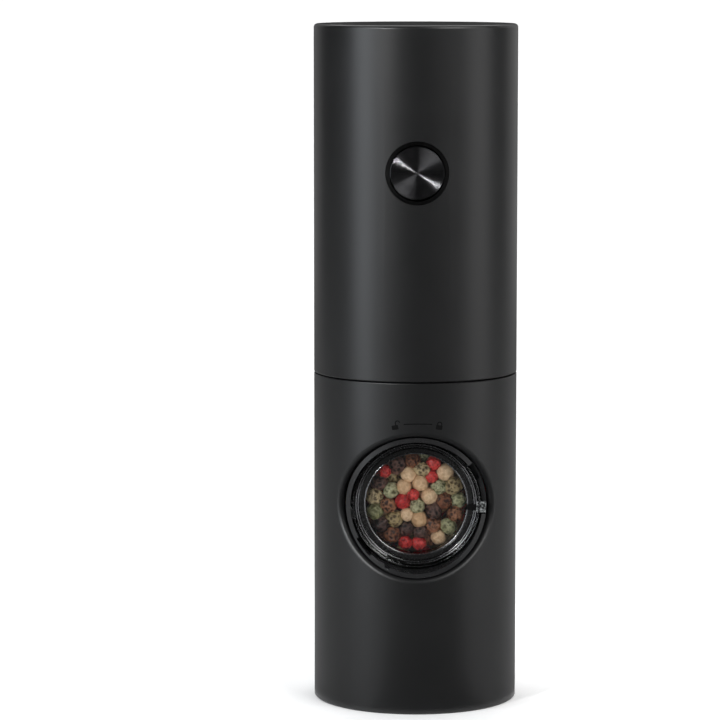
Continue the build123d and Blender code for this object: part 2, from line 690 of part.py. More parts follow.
def tact_switch():
    body = block(-SWITCH_HALF, SWITCH_HALF, -23.9, BOARD_FRONT_Y,
                 BUTTON_Z - SWITCH_HALF, BUTTON_Z + SWITCH_HALF)
    return body + y_rod(1.75, SWITCH_TOP_Y, -23.5, BUTTON_Z)


def charge_board():
    board = block(-12, 12, CHARGE_BOARD_Y, CHARGE_BOARD_FRONT_Y, 109.9, CHARGE_BOARD_TOP)
    return without(board, [y_rod(BOARD_HOLE_R, 18, 30, LED_Z, x) for x in (-CHARGE_SCREW_X, CHARGE_SCREW_X)])


def usb_socket():
    outer = Rot(90, 0, 0) * extrude(SlotOverall(*USB_SHELL), USB_LENGTH)
    inner = Rot(90, 0, 0) * extrude(SlotOverall(*USB_MOUTH), USB_LENGTH - 1)
    shell = Pos(0, CHARGE_BOARD_FRONT_Y + USB_LENGTH, USB_Z) * (outer - inner)
    tongue = block(-3.3, 3.3, CHARGE_BOARD_FRONT_Y + 0.5, CHARGE_BOARD_FRONT_Y + 5.6,
                   USB_Z - 0.35, USB_Z + 0.35)
    return shell + tongue


def charge_led():
    return y_rod(LED_HOLE_R - 0.1, CHARGE_BOARD_FRONT_Y, BODY_R - 0.35, LED_Z) & rod(BODY_R - 0.4, 0, HEIGHT)


# ---- power button ----
BEZEL_INNER_R = 8.5
BEZEL_BACK_Y = -24.9
BEZEL_FLANGE_R = 11.2
DISC_FRONT_Y = -30.2
DISC_BACK_Y = -28.9
CAP_FLANGE_Y = -27.4
CAP_FLANGE_R = 8.85
CAP_BACK_Y = -26.4


def button_bezel():
    ring = y_tube(BUTTON_HOLE_R - FIT, BEZEL_INNER_R, -BODY_R - 2, BEZEL_BACK_Y, BUTTON_Z)
    ring = ring & rod(BODY_R - 0.2, 0, HEIGHT)
    ring = ring + y_tube(BEZEL_FLANGE_R, BUTTON_HOLE_R - 0.35, BEZEL_BACK_Y - 1, BEZEL_BACK_Y, BUTTON_Z)
    return ring - y_rod(CAP_FLANGE_R + 0.2, CAP_FLANGE_Y - 0.1, -20, BUTTON_Z)


def button_disc():
    disc = y_rod(BUTTON_DISC_R, DISC_FRONT_Y, DISC_BACK_Y, BUTTON_Z)
    front = disc.edges().filter_by(GeomType.CIRCLE).sort_by(Axis.Y)[0]
    return chamfer(front, 0.35)


def button_cap():
    """Carrier of the disc: a flanged cup with a stem that stops just short of the switch."""
    body = y_rod(BUTTON_DISC_R - 0.2, DISC_BACK_Y, CAP_BACK_Y, BUTTON_Z)
    body = body + y_rod(CAP_FLANGE_R, CAP_FLANGE_Y, CAP_BACK_Y, BUTTON_Z)
    body = body - y_tube(7.2, 3.4, CAP_FLANGE_Y + 0.2, -20, BUTTON_Z)
    return body + y_rod(2.2, CAP_BACK_Y - 1, SWITCH_TOP_Y - BUTTON_TRAVEL - FIT, BUTTON_Z)


# ---- internal wires: straight runs joined by large tangent arcs ----
# Each route is a list of points chosen by hand between the battery, the board and the motor.
def wire(route, wire_r):
    points = [Vector(*point) for point in route]
    radii = []
    for before, corner, after in zip(points, points[1:], points[2:]):
        into = corner - before
        out = after - corner
        turn = math.radians(into.get_angle(out))
        radii.append(0.45 * min(into.length, out.length) / math.tan(turn / 2))
    path = FilletPolyline(*points, radius=radii)
    section = Plane(origin=path @ 0, z_dir=path % 0) * Circle(wire_r)
    return sweep(section, path=path)


WIRE_R = 0.65
WIRE_Y = BOARD_BACK_Y + WIRE_R + FIT
TAB_EAR = (2.5, 4.9, 205.56)
battery_lead_red = wire([TAB_EAR, (3.4, -4.5, 205.3), (5.0, -15, 200), (5.6, WIRE_Y, 190.5),
                         (5.6, WIRE_Y, 181)], WIRE_R)
battery_lead_black = wire([(-4, -2.2, 156.2), (-4, -9, 157), (-4.6, -16, 160), (-5, WIRE_Y, 167),
                           (-5, WIRE_Y, 175)], WIRE_R)
motor_lead_red = wire([(7.5, -1.2, 151), (6.9, -9, 151.2), (6.3, -16.2, 153.5), (6.2, WIRE_Y, 160.5),
                       (6.2, WIRE_Y, 168)], WIRE_R)
motor_lead_black = wire([(-7.5, -1.2, 151), (-6.9, -9, 151.2), (-6.3, -16.2, 153.5), (-6.4, WIRE_Y, 159),
                         (-6.4, WIRE_Y, 164.5)], WIRE_R)


# ---- fasteners ----
cartridge_screw = screw(CARTRIDGE_SCREW_SHANK_R, 2.7, 1.6, 9.3, 13.1)
cartridge_screws = around(3, Pos(CARTRIDGE_SCREW_R, 0, 0) * cartridge_screw, 90)
hopper_screw = Rot(180, 0, 0) * screw(HOPPER_SCREW_SHANK_R, 2.4, 1.5, 10.0, -90.6)
hopper_screws = around(3, Pos(HOPPER_SCREW_R, 0, 0) * hopper_screw, 90)
gearbox_screw = Rot(180, 0, 0) * screw(GEARBOX_SCREW_SHANK_R, 1.9, 1.2, COVER_HIGH - 98.3, -98.3)
gearbox_screws = around(3, Pos(GEARBOX_SCREW_R, 0, 0) * gearbox_screw, 30)
motor_screw = screw(MOTOR_SCREW_SHANK_R, MOTOR_SCREW_HEAD_R, 0.9, 2.5, HOUSING_HIGH + 3.6)
motor_screws = [Pos(0, y, 0) * motor_screw for y in (-MOTOR_SCREW_Y, MOTOR_SCREW_Y)]
front_screw = along_y(screw(BOARD_SCREW_SHANK_R, 1.5, 0.9, 4.6, BOARD_FRONT_Y + 4.6), 0)
back_screw = screw(BOARD_SCREW_SHANK_R, 1.5, 0.9, 3.4, 3.4 - CHARGE_BOARD_FRONT_Y)
back_screw = along_y(Rot(180, 0, 0) * back_screw, 0)
board_screws = [Pos(x, 0, z) * front_screw for z in BOARD_SCREW_Z for x in (-POST_X, POST_X)]
board_screws += [Pos(x, 0, LED_Z) * back_screw for x in (-CHARGE_SCREW_X, CHARGE_SCREW_X)]

# ---- write every piece ----
SINGLE_PIECES = (
    lower_shell, upper_shell, chassis, hopper, port_collar, fill_door, door_gasket, burr_cartridge,
    outer_burr, inner_burr, thrust_pin, adjust_knob, knob_clip, burr_spring, drive_shaft, agitator,
    output_bushing, shaft_seal, gear_housing, gearbox_cover, output_carrier, first_stage_carrier,
    motor_pinion, motor_shaft, motor_can, motor_end_bell, battery_cell, battery_cradle, control_board,
    tact_switch, charge_board, usb_socket, charge_led, button_bezel, button_disc, button_cap,
)
for piece in SINGLE_PIECES:
    save(piece.__name__, piece())
save("second_planet_pins", *planet_pins(OUTPUT_PLATE[0], STAGE_TWO[1] + 0.1))
save("first_planet_pins", *planet_pins(FIRST_PLATE[0], STAGE_ONE[1] + 0.1))
for letter, second, first in zip("abc", planets(*STAGE_TWO), planets(*STAGE_ONE)):
    save(f"second_planet_{letter}", second)
    save(f"first_planet_{letter}", first)
save("battery_tabs", *battery_tabs())
save("board_chips", *board_chips())
save("battery_lead_red", battery_lead_red)
save("battery_lead_black", battery_lead_black)
save("motor_lead_red", motor_lead_red)
save("motor_lead_black", motor_lead_black)
save("cartridge_screws", *cartridge_screws)
save("hopper_screws", *hopper_screws)
save("gearbox_screws", *gearbox_screws)
save("motor_screws", *motor_screws)
save("board_screws", *board_screws)
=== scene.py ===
import math
import random
from collections import namedtuple

import bmesh
import bpy
import numpy as np
from mathutils import Matrix, Vector, noise


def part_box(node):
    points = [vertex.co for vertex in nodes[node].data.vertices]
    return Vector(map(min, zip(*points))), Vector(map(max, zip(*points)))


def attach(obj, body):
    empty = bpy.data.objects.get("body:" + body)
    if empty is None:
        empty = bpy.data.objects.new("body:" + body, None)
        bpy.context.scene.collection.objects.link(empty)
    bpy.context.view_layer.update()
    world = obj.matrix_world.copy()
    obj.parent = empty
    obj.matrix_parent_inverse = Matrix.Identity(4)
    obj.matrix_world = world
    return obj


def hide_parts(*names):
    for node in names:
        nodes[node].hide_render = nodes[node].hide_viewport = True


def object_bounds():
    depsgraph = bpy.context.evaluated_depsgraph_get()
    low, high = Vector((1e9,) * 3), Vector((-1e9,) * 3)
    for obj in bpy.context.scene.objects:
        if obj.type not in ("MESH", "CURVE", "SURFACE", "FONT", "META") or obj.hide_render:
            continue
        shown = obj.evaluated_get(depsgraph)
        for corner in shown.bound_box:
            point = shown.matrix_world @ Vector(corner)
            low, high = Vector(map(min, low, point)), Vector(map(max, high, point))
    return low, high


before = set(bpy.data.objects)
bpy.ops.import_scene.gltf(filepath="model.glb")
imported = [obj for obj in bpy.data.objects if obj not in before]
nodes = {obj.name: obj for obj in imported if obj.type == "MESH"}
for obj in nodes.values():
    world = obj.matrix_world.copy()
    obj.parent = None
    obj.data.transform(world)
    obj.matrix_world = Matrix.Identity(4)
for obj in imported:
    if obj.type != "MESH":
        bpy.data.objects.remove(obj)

cad_low, cad_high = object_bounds()
MM = 0.001


# ---------------------------------------------------------------- shells
# Two injection-moulded tubes in satin black plastic, spark-textured in the mould so that
# light spreads over them in soft bands. They click onto the chassis from both sides.
class Term:
    """A number read from a shader node; arithmetic on it adds Math nodes."""

    def __init__(self, finish, socket):
        self.finish = finish
        self.socket = socket

    def maths(self, operation, first, second=0.0):
        node = self.finish.node("ShaderNodeMath", {"operation": operation}, {0: first, 1: second})
        return Term(self.finish, node.outputs[0])

    def __add__(self, other):
        return self.maths("ADD", self, other)

    __radd__ = __add__

    def __mul__(self, other):
        return self.maths("MULTIPLY", self, other)

    __rmul__ = __mul__

    def __sub__(self, other):
        return self.maths("SUBTRACT", self, other)

    def __rsub__(self, other):
        return self.maths("SUBTRACT", other, self)

    def __pow__(self, other):
        return self.maths("POWER", self, other)

    def at_least(self, other):
        return self.maths("MAXIMUM", self, other)

    def at_most(self, other):
        return self.maths("MINIMUM", self, other)

    def wave(self):
        return self.maths("SINE", self)


class Finish:
    """One surface finish: a material whose nodes are all added by node()."""

    def __init__(self, name, colour, roughness, **constants):
        self.material = bpy.data.materials.new(name)
        self.material.use_nodes = True
        self.tree = self.material.node_tree
        self.shader = self.tree.nodes["Principled BSDF"]
        self.give(colour, self.shader.inputs["Base Color"])
        self.give(roughness, self.shader.inputs["Roughness"])
        for key, value in constants.items():
            self.give(value, self.shader.inputs[key.replace("_", " ")])
        self.place = self.node("ShaderNodeTexCoord").outputs["Object"]

    def give(self, value, socket):
        """Link a term or a socket to a socket, or set it to a plain value."""
        if isinstance(value, Term):
            self.tree.links.new(value.socket, socket)
        elif isinstance(value, bpy.types.NodeSocket):
            self.tree.links.new(value, socket)
        elif socket.type == "RGBA" and len(value) == 3:
            socket.default_value = (*value, 1.0)
        else:
            socket.default_value = value

    def node(self, kind, settings=None, values=None):
        """Node of a kind, given its settings first and then the values or links of its sockets."""
        made = self.tree.nodes.new(kind)
        for key, value in (settings or {}).items():
            setattr(made, key, value)
        for key, value in (values or {}).items():
            self.give(value, made.inputs[key])
        return made

    def speckle(self, per_metre, detail):
        """Noise from 0 to 1 with so many cells in a metre."""
        values = {"Vector": self.place, "Scale": per_metre, "Detail": detail}
        return Term(self, self.node("ShaderNodeTexNoise", None, values).outputs["Fac"])

    def painted(self, name):
        """Value from 0 to 1 stored at each point of a mesh under a name."""
        stored = self.node("ShaderNodeAttribute", {"attribute_name": name})
        return Term(self, stored.outputs["Fac"])

    def axes(self):
        """The three coordinates of a place on the piece as terms."""
        split = self.node("ShaderNodeSeparateXYZ", None, {0: self.place})
        return [Term(self, output) for output in split.outputs]

    def between(self, share, first, second):
        """Colour between two others by a share from 0 to 1."""
        mixer = self.node("ShaderNodeMix", {"data_type": "RGBA"}, {0: share, 6: first, 7: second})
        return mixer.outputs[2]

    def bump(self, height, depth_mm):
        """Relief of so many millimetres from a height of 0 to 1."""
        values = {"Height": height, "Distance": depth_mm * MM, "Strength": 1.0}
        relief = self.node("ShaderNodeBump", None, values)
        self.give(relief.outputs[0], self.shader.inputs["Normal"])

    def colour(self, value):
        self.give(value, self.shader.inputs["Base Color"])

    def rough(self, value):
        self.give(value, self.shader.inputs["Roughness"])

    def onto(self, *pieces):
        for piece in pieces:
            piece.data.materials.clear()
            piece.data.materials.append(self.material)


def shaded(colour, factor):
    """Colour made darker or lighter by a factor, and no brighter than white."""
    return [min(1.0, part * factor) for part in colour]


def moulded_plastic(name, colour, roughness, grain_mm, relief_mm, mottling=0.15):
    """Textured moulding: fine spark grain, faint flow mottling and slightly uneven gloss."""
    cloud_gloss, grain_gloss = 0.05, 0.06
    finish = Finish(name, colour, roughness)
    cloud = finish.speckle(per_metre=60, detail=3)
    grain = finish.speckle(per_metre=1 / MM / grain_mm, detail=2)
    finish.colour(finish.between(cloud, shaded(colour, 1 - mottling), shaded(colour, 1 + mottling)))
    finish.rough(roughness + (cloud - 0.5) * cloud_gloss + (grain - 0.5) * grain_gloss)
    finish.bump(grain, relief_mm)
    return finish


shell_black = moulded_plastic("satin_black_shell", (0.0050, 0.0051, 0.0054), 0.37,
                              grain_mm=0.22, relief_mm=0.0015)
shell_black.onto(nodes["lower_shell"], nodes["upper_shell"])


# ---------------------------------------------------------------- chassis and tank
# The chassis is one black moulding that joins the shells and shows only as the dark line
# between them. The smoke-grey tank below it holds the pepper and lines the lower shell.
frame_black = moulded_plastic("black_chassis", (0.012, 0.012, 0.013), 0.55, 0.3, 0.01)
frame_black.onto(nodes["chassis"], nodes["burr_cartridge"])
frame_black.onto(nodes["battery_cradle"], nodes["motor_end_bell"])
tank_grey = moulded_plastic("smoke_tank", (0.035, 0.035, 0.036), 0.35, 0.5, 0.004)
tank_grey.onto(nodes["hopper"])


# ---------------------------------------------------------------- filling port
# A polished black collar pressed through the shell into the tank. Its back is a ring-shaped
# floor with a round mouth, and its wall holds the hooks for the door.
def polished_plastic(name, colour, roughness, **constants):
    """High-gloss moulding with faint flow clouds, sink waviness and hairline wipe marks."""
    finish = Finish(name, colour, roughness, **constants)
    cloud = finish.speckle(per_metre=70, detail=2)
    finish.colour(finish.between(cloud, shaded(colour, 0.93), shaded(colour, 1.05)))
    ripple = finish.speckle(per_metre=180, detail=1)
    wipes = finish.speckle(per_metre=2600, detail=1) ** 6
    finish.rough(roughness + ripple * 0.04 + wipes * 0.5)
    finish.bump(ripple, depth_mm=0.02)
    return finish


port_black = polished_plastic("gloss_black_port", (0.011, 0.011, 0.0115), 0.2,
                              Specular_IOR_Level=0.4)
port_black.onto(nodes["port_collar"])
seal_rubber = moulded_plastic("silicone_seal", (0.42, 0.42, 0.40), 0.5, 0.4, 0.006)
seal_rubber.onto(nodes["door_gasket"], nodes["shaft_seal"])


# ---------------------------------------------------------------- door
# A twist-lock cap: a flat clear pane in a gloss black frame, inside a ridged ring of clear
# acrylic with two hooks and an index nib behind it and a facetted finger tab at its right.
# Radii are in millimetres from the port's axis, and depths are from the mill's axis.
PORT_CENTRE = Vector((0, 0, 63.8))
PANE_FRONT, PANE_BACK = -20.6, -19.2
RING_FRONT, RING_BACK = -22.9, -18.1
RING_R = 19.7
PANE_R = 15.4
FRAME_R = 17.45
FRAME_FRONT = -22.55
JOINT_GAP = 0.02
ACRYLIC_IOR = 1.49


def new_object(name, data):
    """Object for a mesh, a light or a camera, linked into the scene."""
    made = bpy.data.objects.new(name, data)
    bpy.context.scene.collection.objects.link(made)
    return made


def mesh_piece(name, build, body, smooth=True):
    """A piece made by a bmesh builder working in millimetres, riding on a body."""
    mesh = bpy.data.meshes.new(name)
    work = bmesh.new()
    build(work)
    bmesh.ops.scale(work, vec=(MM, MM, MM), verts=work.verts)
    bmesh.ops.recalc_face_normals(work, faces=work.faces)
    work.to_mesh(mesh)
    work.free()
    mesh.polygons.foreach_set("use_smooth", [smooth] * len(mesh.polygons))
    piece = new_object(name, mesh)
    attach(piece, body)
    return piece


def port_point(radius, y, clock):
    """Point round the port axis; clock in degrees clockwise from the top, seen from the front."""
    turn = math.radians(clock)
    return PORT_CENTRE + Vector((radius * math.sin(turn), y, radius * math.cos(turn)))


def turned(work, outline, steps=180):
    """Closed (radius, y) outline turned round the port axis; radius 0 closes to a point."""
    rings = []
    for radius, y in outline:
        if radius == 0:
            rings.append([work.verts.new(port_point(0, y, 0))] * steps)
        else:
            clocks = [360 * k / steps for k in range(steps)]
            rings.append([work.verts.new(port_point(radius, y, clock)) for clock in clocks])
    for ring, following in zip(rings, rings[1:] + rings[:1]):
        for k in range(steps):
            corners = [ring[k], ring[(k + 1) % steps], following[(k + 1) % steps], following[k]]
            distinct = list(dict.fromkeys(corners))
            if len(distinct) > 2:
                work.faces.new(distinct)


def rounded(outline, radius, steps=3):
    """Outline with each corner cut by a short arc, which takes no more than 0.4 of a side."""
    side_share = 0.4
    smooth = []
    count = len(outline)
    for index in range(count):
        before = Vector(outline[index - 1])
        corner = Vector(outline[index])
        after = Vector(outline[(index + 1) % count])
        shorter = min((before - corner).length, (after - corner).length)
        reach = min(radius, side_share * shorter)
        start = corner + (before - corner).normalized() * reach
        end = corner + (after - corner).normalized() * reach
        for step in range(steps + 1):
            share = step / steps
            first = start.lerp(corner, share)
            second = corner.lerp(end, share)
            smooth.append(tuple(first.lerp(second, share)))
    return smooth


def arc_block(work, inner, outer, front, back, clock, span, steps=8):
    """Block between two radii and two depths, round the port axis; clock and span in degrees."""
    stations = [clock - span / 2 + span * k / steps for k in range(steps + 1)]
    loops = []
    for station in stations:
        corners = [(inner, front), (outer, front), (outer, back), (inner, back)]
        loops.append([work.verts.new(port_point(radius, y, station)) for radius, y in corners])
    for loop, following in zip(loops, loops[1:]):
        for k in range(4):
            work.faces.new([loop[k], loop[(k + 1) % 4], following[(k + 1) % 4], following[k]])
    work.faces.new(loops[0])
    work.faces.new(list(reversed(loops[-1])))


def bead(middle, radius, base, steps=8):
    """Rounded ridge on the front of the ring, from its outer foot to its inner foot."""
    turns = [math.pi * k / steps for k in range(steps + 1)]
    return [(middle + radius * math.cos(turn), base - radius * math.sin(turn)) for turn in turns]


def door_ring_mesh(work):
    """Clear ring with a broad bead at its rim and two finer ones inside it."""
    back = [(FRAME_R, PANE_BACK), (FRAME_R, RING_BACK), (RING_R, RING_BACK)]
    rim_bead = bead(RING_R - 0.45, 0.45, RING_FRONT + 0.45)
    middle_bead = bead(18.30, 0.32, RING_FRONT + 0.62)
    inner_bead = bead(FRAME_R + 0.22, 0.16, RING_FRONT + 0.70, steps=4)
    turned(work, back + rim_bead + middle_bead + inner_bead)


def door_ridges_mesh(work):
    """Fine polished ridges round the ring, and the nib, notch and lug marks that catch light."""
    rim_ridge, middle_ridge = (19.38, 0.22, -22.62), (18.45, 0.20, -22.50)
    inner_ridge, frame_ridge = (17.80, 0.17, -22.52), (15.75, 0.20, -22.42)
    turns = [math.radians(30 * k) for k in range(12)]
    for middle, radius, y in (rim_ridge, middle_ridge, inner_ridge, frame_ridge):
        circle = [(middle + radius * math.cos(turn), y - radius * math.sin(turn)) for turn in turns]
        turned(work, circle)
    top_nib = (19.3, 20.05, -22.6, -21.8, 0, 9)
    top_notch = (15.55, 16.1, -22.62, -22.2, 0, 13)
    left_lug_tip = (19.3, 20.1, -22.6, -21.8, 272, 3)
    left_lug = (19.7, 20.1, -22.5, -21.8, 262, 11)
    for block in (top_nib, top_notch, left_lug_tip, left_lug):
        arc_block(work, *block)


def door_frame_mesh(work):
    """Black frame between the pane and the clear ring, sloping in to the pane at its front."""
    rim = FRAME_R - JOINT_GAP
    outline = [(PANE_R, PANE_BACK), (15.8, RING_BACK), (rim, RING_BACK)]
    outline += [(rim, FRAME_FRONT + 0.25), (FRAME_R - 0.2, FRAME_FRONT)]
    outline += [(16.15, FRAME_FRONT + 0.05), (15.75, FRAME_FRONT + 0.3), (PANE_R + 0.2, PANE_FRONT)]
    turned(work, rounded(outline, radius=0.12))


def door_pane_mesh(work):
    rim = PANE_R - JOINT_GAP
    turned(work, [(0, PANE_FRONT), (rim, PANE_FRONT), (rim, PANE_BACK), (0, PANE_BACK)])


def door_tabs_mesh(work):
    """The two hooks at the sides of the ring and the index nib at its top."""
    right_hook = (RING_R - 0.2, 20.7, RING_BACK - 1.7, RING_BACK, 90, 13)
    left_hook = (RING_R - 0.2, 20.7, RING_BACK - 1.7, RING_BACK, 262, 15)
    index_nib = (RING_R - 0.2, 20.1, RING_BACK - 3, RING_BACK - 1, 0, 8.5)
    for block in (right_hook, left_hook, index_nib):
        arc_block(work, *block)


def finger_tab_mesh(work):
    """Clear grip at the right of the ring, cut with small facets; its colour adds painted glints.
    """
    draw_facets = random.Random(5)
    back, tab_clock, facet_span = -21.0, 92.5, 3.2
    for row, (inner, outer) in enumerate(((18.5, 19.3), (19.3, 20.2), (20.2, 21.4))):
        for column in (-1, 0, 1):
            front = RING_FRONT - 0.05 + 0.25 * draw_facets.random()
            clock = tab_clock + facet_span * column
            arc_block(work, inner, outer, front, back, clock, facet_span - 0.2 * row, steps=2)


def shade_blocks_and_arrow_mesh(work):
    """Black blocks that paint the shade in the recess beside the finger tab and in the slot at the
    lower left, and the small arrow.
    """
    tab_recess_shade = (15.5, FRAME_R + 1.0, -22.8, -22.2, 93, 6)
    slot_shade = (18.0, 18.5, -22.84, -22.2, 200, 18)
    slot_foot_shade = (18.0, 19.0, -22.84, -22.2, 191, 1.6)
    for block in (tab_recess_shade, slot_shade, slot_foot_shade):
        arc_block(work, *block)
    tip = port_point(18.9, RING_FRONT - 0.02, 12)
    wing, thickness = 0.45, 0.6
    corners = [tip, tip + Vector((-wing, 0, wing * 1.6)), tip + Vector((wing, 0, wing * 1.3))]
    front = [work.verts.new(corner) for corner in corners]
    back = [work.verts.new(corner + Vector((0, thickness, 0))) for corner in corners]
    work.faces.new(front)
    work.faces.new(list(reversed(back)))
    for k in range(3):
        work.faces.new([front[k], front[(k + 1) % 3], back[(k + 1) % 3], back[k]])


clear_plastic = polished_plastic("clear_acrylic", (0.55, 0.56, 0.56), 0.04,
                                 IOR=ACRYLIC_IOR, Transmission_Weight=1.0)
pane_plastic = polished_plastic("clear_pane", (1.0, 1.0, 1.0), 0.03, Metallic=1.0)
fresnel = pane_plastic.node("ShaderNodeFresnel", None, {"IOR": ACRYLIC_IOR})
glint = Term(pane_plastic, fresnel.outputs[0])
pane_plastic.give(glint * 0.8, pane_plastic.shader.inputs["Alpha"])
frame_gloss = polished_plastic("black_door_frame", (0.006, 0.006, 0.006), 0.22)
door_ring = mesh_piece("door_ring", door_ring_mesh, "door")
door_frame = mesh_piece("door_frame", door_frame_mesh, "door")
door_pane = mesh_piece("door_pane", door_pane_mesh, "door", smooth=False)
door_tabs = mesh_piece("door_tabs", door_tabs_mesh, "door", smooth=False)
door_shade_and_arrow = mesh_piece("door_shade_and_arrow", shade_blocks_and_arrow_mesh, "door", smooth=False)
door_ridges = mesh_piece("door_ridges", door_ridges_mesh, "door")
finger_tab = mesh_piece("finger_tab", finger_tab_mesh, "door", smooth=False)
clear_plastic.onto(door_ring, door_tabs)
ridge_glint = polished_plastic("polished_ridges", (0.34, 0.34, 0.35), 0.21, Metallic=1.0)
ridge_glint.onto(door_ridges)
tab_painted_glints = polished_plastic("clear_tab_with_painted_glints", (0.26, 0.26, 0.26), 0.08)
# Painted glints: bright patches of noise on a dark ground in the tab's colour stand for light
# caught by its facets.
painted_glint_noise = tab_painted_glints.speckle(per_metre=1500, detail=1)
painted_glint_mask = (painted_glint_noise * 4 - 1.6).at_least(0.0).at_most(1.0)
tab_painted_glints.colour(tab_painted_glints.between(painted_glint_mask, (0.015, 0.015, 0.015), (0.20, 0.21, 0.21)))
tab_painted_glints.onto(finger_tab)
frame_gloss.onto(door_frame)
# Near-black plastic for the button's bezel. On the door it is painted shade: black blocks stand for
# the shade in its recess and slot.
bezel_black_and_painted_shade = polished_plastic("bezel_black_plastic_and_painted_shade", (0.001, 0.001, 0.001), 0.12)
bezel_black_and_painted_shade.onto(door_shade_and_arrow)
pane_plastic.onto(door_pane)
for part in (door_ring, door_frame, door_ridges, door_pane, door_tabs, finger_tab, door_shade_and_arrow):
    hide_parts("fill_door")


# ---------------------------------------------------------------- printed lock marks
# One pad-print in matt black ink over the port: an open padlock, a faintly bowed line and
# a closed padlock. The ink stands a hundredth of a millimetre off the shell.
SHELL_R = (cad_high.x - cad_low.x) / 2 / MM
INK = 0.01


def on_shell(x, z, lift):
    """Point on the front of the shell, lifted off it."""
    return Vector((x, -math.sqrt((SHELL_R + lift) ** 2 - x * x), z))


def ink_strip(work, first_side, second_side):
    """Thin closed prism on the shell between two rows of (x, z) points."""
    levels = []
    for lift in (INK, -3 * INK):
        levels.append([[work.verts.new(on_shell(x, z, lift)) for x, z in row]
                       for row in (first_side, second_side)])
    count = len(first_side)
    for k in range(count - 1):
        for one, two in levels:
            work.faces.new([one[k], one[k + 1], two[k + 1], two[k]])
        for side in (0, 1):
            top, bottom = levels[0][side], levels[1][side]
            work.faces.new([top[k], top[k + 1], bottom[k + 1], bottom[k]])
    for k in (0, count - 1):
        work.faces.new([levels[0][0][k], levels[0][1][k], levels[1][1][k], levels[1][0][k]])


def padlock(work, x, z, lean, opened):
    """Padlock 2 mm wide: a bevelled body and a shackle, turned by lean degrees."""
    half_width, half_height = 0.98, 0.68
    end_height, bevel = 0.5, 0.12
    shackle_outer, shackle_inner, shackle_foot = 0.80, 0.48, 0.6
    shackle_shift, shackle_rise = (0.95, 1.25) if opened else (0.0, 1.0)
    leaning = Matrix.Rotation(math.radians(lean), 2)

    def placed(points):
        return [tuple(leaning @ Vector(point) + Vector((x, z))) for point in points]

    top = [((half_width - bevel) * k / 4, half_height) for k in range(-4, 5)]
    top = [(-half_width, end_height)] + top + [(half_width, end_height)]
    ink_strip(work, placed(top), placed([(u, -v) for u, v in top]))
    sides = []
    for radius in (shackle_outer, shackle_inner):
        side = [(shackle_shift - radius, shackle_foot)]
        for k in range(13):
            turn = math.radians(180 - 180 * k / 12)
            across, up = radius * math.cos(turn), radius * math.sin(turn)
            side.append((shackle_shift + across, shackle_rise + up))
        if not opened:
            side.append((radius, shackle_foot))
        sides.append(placed(side))
    ink_strip(work, *sides)


def lock_marks_mesh(work):
    padlock(work, -6.6, 88.6, lean=10, opened=True)
    padlock(work, 6.8, 88.6, lean=-8, opened=False)
    line_start, line_length, line_top, half_line = -4.0, 8.65, 89.75, 0.17
    across = [line_start + line_length * k / 24 for k in range(25)]
    line = [(x, line_top - (x - 0.3) ** 2 / 110) for x in across]
    ink_strip(work, [(x, z + half_line) for x, z in line], [(x, z - half_line) for x, z in line])


ink_black = moulded_plastic("matt_black_ink", (0.002, 0.002, 0.002), 0.85, 0.15, 0.001)
ink_black.shader.inputs["Specular IOR Level"].default_value = 0.12
lock_marks = mesh_piece("lock_marks", lock_marks_mesh, "root", smooth=False)
ink_black.onto(lock_marks)


# ---------------------------------------------------------------- peppercorns
# Loose dried peppercorns of six kinds fill the tank up behind the door: wrinkled black,
# brown, olive and green ones, smoother cream ones, and thin-skinned pink berries.
TANK_R = 27.2
TANK_FLOOR = 44.5
HEAP_TOP = 83.5
HEAP_CROWN = HEAP_TOP + 6
HEAP_BACK = -6.0
THROAT_R = 15.55
THROAT_CATCH = 1.2
THROAT_FRONT = PANE_BACK + 0.05
COLLAR_BACK = -15.5
CORN_COUNT = 240
draw = random.Random(11)
# The noise vectors that bend the wrinkles have a seed of their own, taken from the clock if
# none is set.
noise.seed_set(11)


def settle_corns(limits, rounds=260):
    """Centres and radii of corns pressed together behind the door, from each one's size limits.
    Each round draws them a little forward and pushes overlapping ones apart."""
    forward, closeness, easing = 0.06, 0.97, 0.7
    count = len(limits)
    not_itself = np.eye(count) * 99
    radii = np.array([draw.uniform(*each) for each in limits])
    heap = ((-20, 20), (-19, -8), (TANK_FLOOR, HEAP_TOP))
    centres = np.array([[draw.uniform(*each) for each in heap] for _ in range(count)])
    for _ in range(rounds):
        centres[:, 1] -= forward
        gap = centres[:, None, :] - centres[None, :, :]
        distance = np.linalg.norm(gap, axis=2) + not_itself
        overlap = np.maximum(0, (radii[:, None] + radii[None, :]) * closeness - distance)
        centres += (gap / distance[:, :, None] * (overlap * 0.5)[:, :, None]).sum(1) * easing
        keep_inside(centres, radii)
    return centres, radii


def keep_inside(centres, radii):
    """Push each corn back into the tank or the throat of the port."""
    for index, radius in enumerate(radii):
        x, y, z = centres[index]
        y = min(y, HEAP_BACK)
        z = min(max(z, TANK_FLOOR + radius), HEAP_CROWN)
        off_axis = math.hypot(x, z - PORT_CENTRE.z)
        in_throat = y - radius < COLLAR_BACK
        if in_throat and off_axis + radius < THROAT_R + THROAT_CATCH:
            if off_axis + radius > THROAT_R:
                share = (THROAT_R - radius) / off_axis
                x *= share
                z = PORT_CENTRE.z + (z - PORT_CENTRE.z) * share
            y = max(y, THROAT_FRONT + radius)
        elif in_throat:
            y = COLLAR_BACK + radius
        reach = math.hypot(x, y)
        if reach + radius > TANK_R:
            share = (TANK_R - radius) / reach
            x *= share
            y = max(y, y * share)
        centres[index] = (x, y, z)


